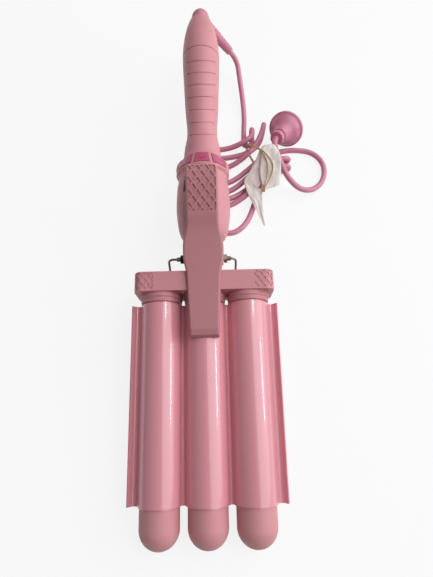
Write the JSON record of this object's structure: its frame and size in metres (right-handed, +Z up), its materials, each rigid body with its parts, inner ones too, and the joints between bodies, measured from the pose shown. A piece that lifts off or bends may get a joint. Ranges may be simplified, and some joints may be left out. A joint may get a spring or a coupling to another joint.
{
  "type": "three-barrel hair waver",
  "caption": "Hand-held hair waver with parallel heated barrels, a spring clamp plate worked by a lever, push buttons on the handle, a wire stand and a swivelling mains cord tied in a hank.",
  "frame": {"origin": "middle of the bottom of the tool's bounding box as it stands on its cool tips and wire stand, cord left out", "axes": "+Y from the barrels to the handle and its cord exit, +X to the right seen from above with the handle away, +Z up; the tool's own axis rises towards +Y"},
  "size_m": [0.1974, 0.5176, 0.0916],
  "materials": {
    "shell_pink": "soft touch",
    "head_pink": "soft touch, heat resistant",
    "lever_pink": "soft touch",
    "glazed_pink": "gloss ceramic glaze",
    "tip_pink": "fine matte",
    "collar_pink": "satin",
    "carrier_dark": "glass filled, matte",
    "spreader_alu": "extruded",
    "heater_film": "wrapped in amber film",
    "screw_steel": "zinc plated",
    "fuse_metal": "plated case",
    "pin_steel": "ground",
    "nut_dark": "blackened",
    "nut_brass": "plain",
    "washer_steel": "plain",
    "chassis_pink": "matte",
    "spring_steel": "drawn wire",
    "stand_chrome": "bright",
    "foot_rubber": "matte",
    "bezel_pink": "satin",
    "button_magenta": "satin",
    "board_green": "solder mask",
    "switch_black": "moulded",
    "lens_dark": "smoked, polished",
    "component_dark": "moulded",
    "lead_sleeve": "silicone sleeve",
    "swivel_pink": "semi gloss",
    "clip_white": "moulded",
    "cord_pink": "semi gloss sheath",
    "pin_nickel": "nickel plated",
    "band_gold": "elastic cord",
    "tag_paper": "crumpled paper"
  },
  "bodies": {
    "tool": {"barrel_carrier": "carrier_dark", "barrel_left": "glazed_pink", "barrel_middle": "glazed_pink", "barrel_right": "glazed_pink", "button_bezel": "bezel_pink", "button_board": "board_green", "cap_screw": "screw_steel", "chassis": "chassis_pink", "clamp_spring": "spring_steel", "cool_tip_left": "tip_pink", "cool_tip_middle": "tip_pink", "cool_tip_right": "tip_pink", "cord_hank": "cord_pink", "cord_run": "cord_pink", "cord_tag": "tag_paper", "cord_tail": "cord_pink", "display_board": "board_green", "display_lens": "lens_dark", "end_cap": "shell_pink", "handle_bottom_shell": "shell_pink", "handle_screws": "screw_steel", "handle_top_shell": "shell_pink", "hank_band": "band_gold", "head_front_plate": "head_pink", "head_housing": "head_pink", "head_screws": "screw_steel", "heat_collar_left": "collar_pink", "heat_collar_middle": "collar_pink", "heat_collar_right": "collar_pink", "heat_spreader_left": "spreader_alu", "heat_spreader_middle": "spreader_alu", "heat_spreader_right": "spreader_alu", "heater_leads": "lead_sleeve", "hinge_nut_left": "nut_dark", "hinge_nut_right": "nut_brass", "hinge_pin": "pin_steel", "hinge_spacers": "washer_steel", "main_pcb": "board_green", "mains_leads": "lead_sleeve", "pcb_components": "component_dark", "plug_body": "cord_pink", "plug_pins": "pin_nickel", "ptc_heater_left": "heater_film", "ptc_heater_middle": "heater_film", "ptc_heater_right": "heater_film", "tact_switches": "switch_black", "thermal_fuse": "fuse_metal"},
    "lever_body": {"clamp_plate": "glazed_pink", "lever": "lever_pink", "lever_screws": "screw_steel"},
    "stand_body": {"stand_feet": "foot_rubber", "wire_stand": "stand_chrome"},
    "swivel_body": {"strain_relief": "swivel_pink", "swivel_ball": "swivel_pink", "swivel_clip": "clip_white"},
    "button_left_body": {"button_left": "button_magenta"},
    "button_middle_body": {"button_middle": "button_magenta"},
    "button_right_body": {"button_right": "button_magenta"}
  },
  "joints": [
    {"name": "clamp_hinge", "type": "hinge", "parent": "tool", "child": "lever_body", "pos_m": [0, -0.02742, 0.04596], "axis": [-1, 0, 0], "range_deg": [0, 11.5], "stiffness_Nm_per_rad": 0.55, "springref_deg": -28.65, "deforming": ["clamp_spring"]},
    {"name": "stand_hinge", "type": "hinge", "parent": "tool", "child": "stand_body", "pos_m": [0, -0.02742, 0.04596], "axis": [1, 0, 0], "range_deg": [0, 66]},
    {"name": "button_left_press", "type": "slide", "parent": "tool", "child": "button_left_body", "axis": [0.7133, 0.0742, -0.697], "range_m": [0, 0.0006], "stiffness_N_per_m": 1200, "springref_m": -0.0004},
    {"name": "button_middle_press", "type": "slide", "parent": "tool", "child": "button_middle_body", "axis": [0, 0.1058, -0.9944], "range_m": [0, 0.0006], "stiffness_N_per_m": 1200, "springref_m": -0.0004},
    {"name": "button_right_press", "type": "slide", "parent": "tool", "child": "button_right_body", "axis": [-0.7133, 0.0742, -0.697], "range_m": [0, 0.0006], "stiffness_N_per_m": 1200, "springref_m": -0.0004},
    {"name": "cord_swivel", "type": "hinge", "parent": "tool", "child": "swivel_body", "pos_m": [0, 0.24946, 0.06838], "axis": [0, 0.9944, 0.1058], "continuous": true}
  ]
}
